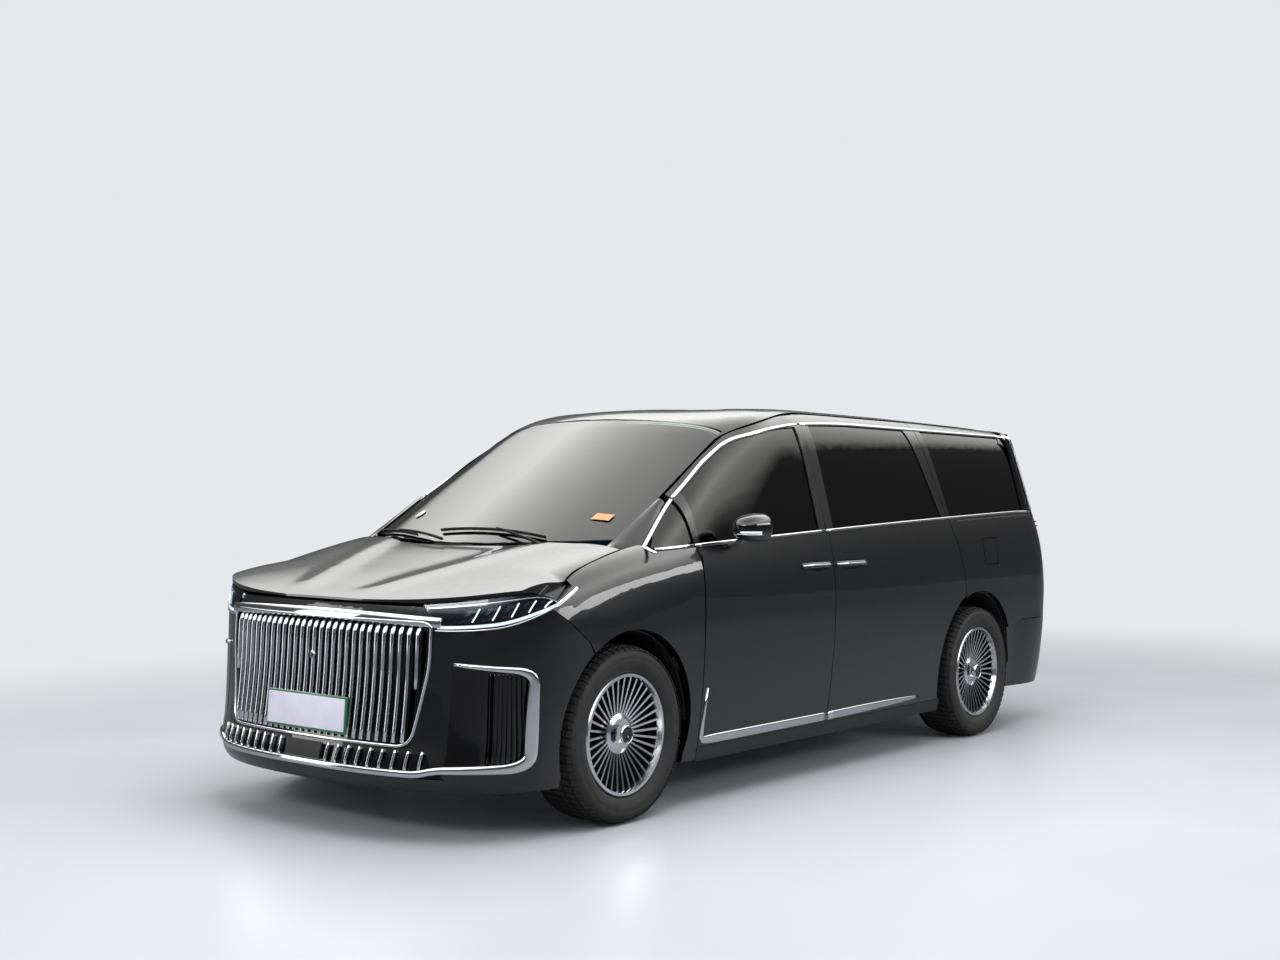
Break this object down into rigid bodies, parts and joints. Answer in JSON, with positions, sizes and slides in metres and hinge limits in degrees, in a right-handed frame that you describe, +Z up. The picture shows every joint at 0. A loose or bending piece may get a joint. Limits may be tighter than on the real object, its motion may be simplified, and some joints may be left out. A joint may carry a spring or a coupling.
{
  "type": "minivan",
  "caption": "Long low luxury minivan with an upright bar grille, hinged front doors, sliding side doors, a lifting tailgate and an open cabin with separate seats",
  "frame": {"origin": "on the floor, on the centre plane, midway between the two bumpers", "axes": "+Z up, +Y towards the tail (front at -Y), +X towards the vehicle's left side"},
  "size_m": [2.292, 5.3148, 1.8149],
  "materials": {
    "body_paint": "gloss black",
    "inner_metal": "satin black",
    "bright_trim": "polished",
    "lamp_glass": "clear lens over bright modules",
    "red_lamp": "clear red lens",
    "tinted_glass": "lightly tinted",
    "privacy_glass": "dark tinted",
    "clear_glass": "clear",
    "black_plastic": "grained",
    "tyre_rubber": "matt",
    "wheel_alloy": "machined",
    "chassis_steel": "black coated",
    "engine_alloy": "cast",
    "wheel_leather": "smooth",
    "seat_leather": "smooth tan"
  },
  "bodies": {
    "body": {"front_fenders": "body_paint", "headlights": "lamp_glass", "front_bumper": "body_paint", "grille": "bright_trim", "lower_grille": "bright_trim", "sliding_doors": "body_paint", "side_glass": "privacy_glass", "tail_lamps": "red_lamp", "quarter_panels": "body_paint", "rear_bumper": "body_paint", "roof": "body_paint", "glass_roof": "privacy_glass", "windscreen": "clear_glass", "body_frame": "inner_metal", "floor_pan": "inner_metal", "bulkhead": "inner_metal", "wheel_liners": "black_plastic", "sills": "black_plastic", "front_subframe": "chassis_steel", "rear_axle": "chassis_steel", "engine_and_radiator": "engine_alloy", "dashboard": "black_plastic", "front_seats": "seat_leather", "rear_seats": "seat_leather"},
    "bonnet": {"bonnet": "body_paint"},
    "front_door_left": {"front_door_left": "body_paint", "front_door_glass_left": "tinted_glass", "mirror_left": "body_paint"},
    "front_door_right": {"front_door_right": "body_paint", "front_door_glass_right": "tinted_glass", "mirror_right": "body_paint"},
    "tailgate": {"tailgate": "body_paint", "rear_glass": "privacy_glass"},
    "fuel_flap": {"fuel_flap": "body_paint"},
    "steering_wheel": {"steering_wheel": "wheel_leather"},
    "knuckle_left": {"knuckle_left": "chassis_steel"},
    "knuckle_right": {"knuckle_right": "chassis_steel"},
    "wheel_front_left": {"tyre_front_left": "tyre_rubber", "rim_front_left": "wheel_alloy"},
    "wheel_front_right": {"tyre_front_right": "tyre_rubber", "rim_front_right": "wheel_alloy"},
    "wheel_rear_left": {"tyre_rear_left": "tyre_rubber", "rim_rear_left": "wheel_alloy"},
    "wheel_rear_right": {"tyre_rear_right": "tyre_rubber", "rim_rear_right": "wheel_alloy"}
  },
  "joints": [
    {"name": "bonnet_hinge", "type": "hinge", "parent": "body", "child": "bonnet", "pos_m": [0, -1.636, 1.15], "axis": [-1, 0, 0], "range_deg": [0, 50]},
    {"name": "front_door_left_hinge", "type": "hinge", "parent": "body", "child": "front_door_left", "pos_m": [0.992, -1.2195, 0.8], "axis": [0, 0, -1], "range_deg": [0, 68]},
    {"name": "front_door_right_hinge", "type": "hinge", "parent": "body", "child": "front_door_right", "pos_m": [-0.992, -1.2195, 0.8], "axis": [0, 0, 1], "range_deg": [0, 68]},
    {"name": "tailgate_hinge", "type": "hinge", "parent": "body", "child": "tailgate", "pos_m": [0, 2.2325, 1.804], "axis": [1, 0, 0], "range_deg": [0, 80]},
    {"name": "fuel_flap_hinge", "type": "hinge", "parent": "body", "child": "fuel_flap", "pos_m": [0.981, 1.5175, 1.057], "axis": [0, 0, -1], "range_deg": [0, 85]},
    {"name": "steering_wheel_turn", "type": "hinge", "parent": "body", "child": "steering_wheel", "pos_m": [0.37, -0.802, 0.985], "axis": [0, 0.9136, 0.4067], "range_deg": [-460, 460]},
    {"name": "steer_left", "type": "hinge", "parent": "body", "child": "knuckle_left", "pos_m": [0.8, -1.7225, 0.369], "axis": [0, 0, 1], "range_deg": [-33, 33]},
    {"name": "steer_right", "type": "hinge", "parent": "body", "child": "knuckle_right", "pos_m": [-0.8, -1.7225, 0.369], "axis": [0, 0, 1], "range_deg": [-33, 33]},
    {"name": "wheel_front_left_roll", "type": "hinge", "parent": "knuckle_left", "child": "wheel_front_left", "pos_m": [0.841, -1.7225, 0.369], "axis": [1, 0, 0], "continuous": true},
    {"name": "wheel_front_right_roll", "type": "hinge", "parent": "knuckle_right", "child": "wheel_front_right", "pos_m": [-0.841, -1.7225, 0.369], "axis": [1, 0, 0], "continuous": true},
    {"name": "wheel_rear_left_roll", "type": "hinge", "parent": "body", "child": "wheel_rear_left", "pos_m": [0.841, 1.4775, 0.369], "axis": [1, 0, 0], "continuous": true},
    {"name": "wheel_rear_right_roll", "type": "hinge", "parent": "body", "child": "wheel_rear_right", "pos_m": [-0.841, 1.4775, 0.369], "axis": [1, 0, 0], "continuous": true}
  ],
  "couplings": [
    {"joint": "steer_right", "follows": "steer_left", "ratio": 1}
  ]
}
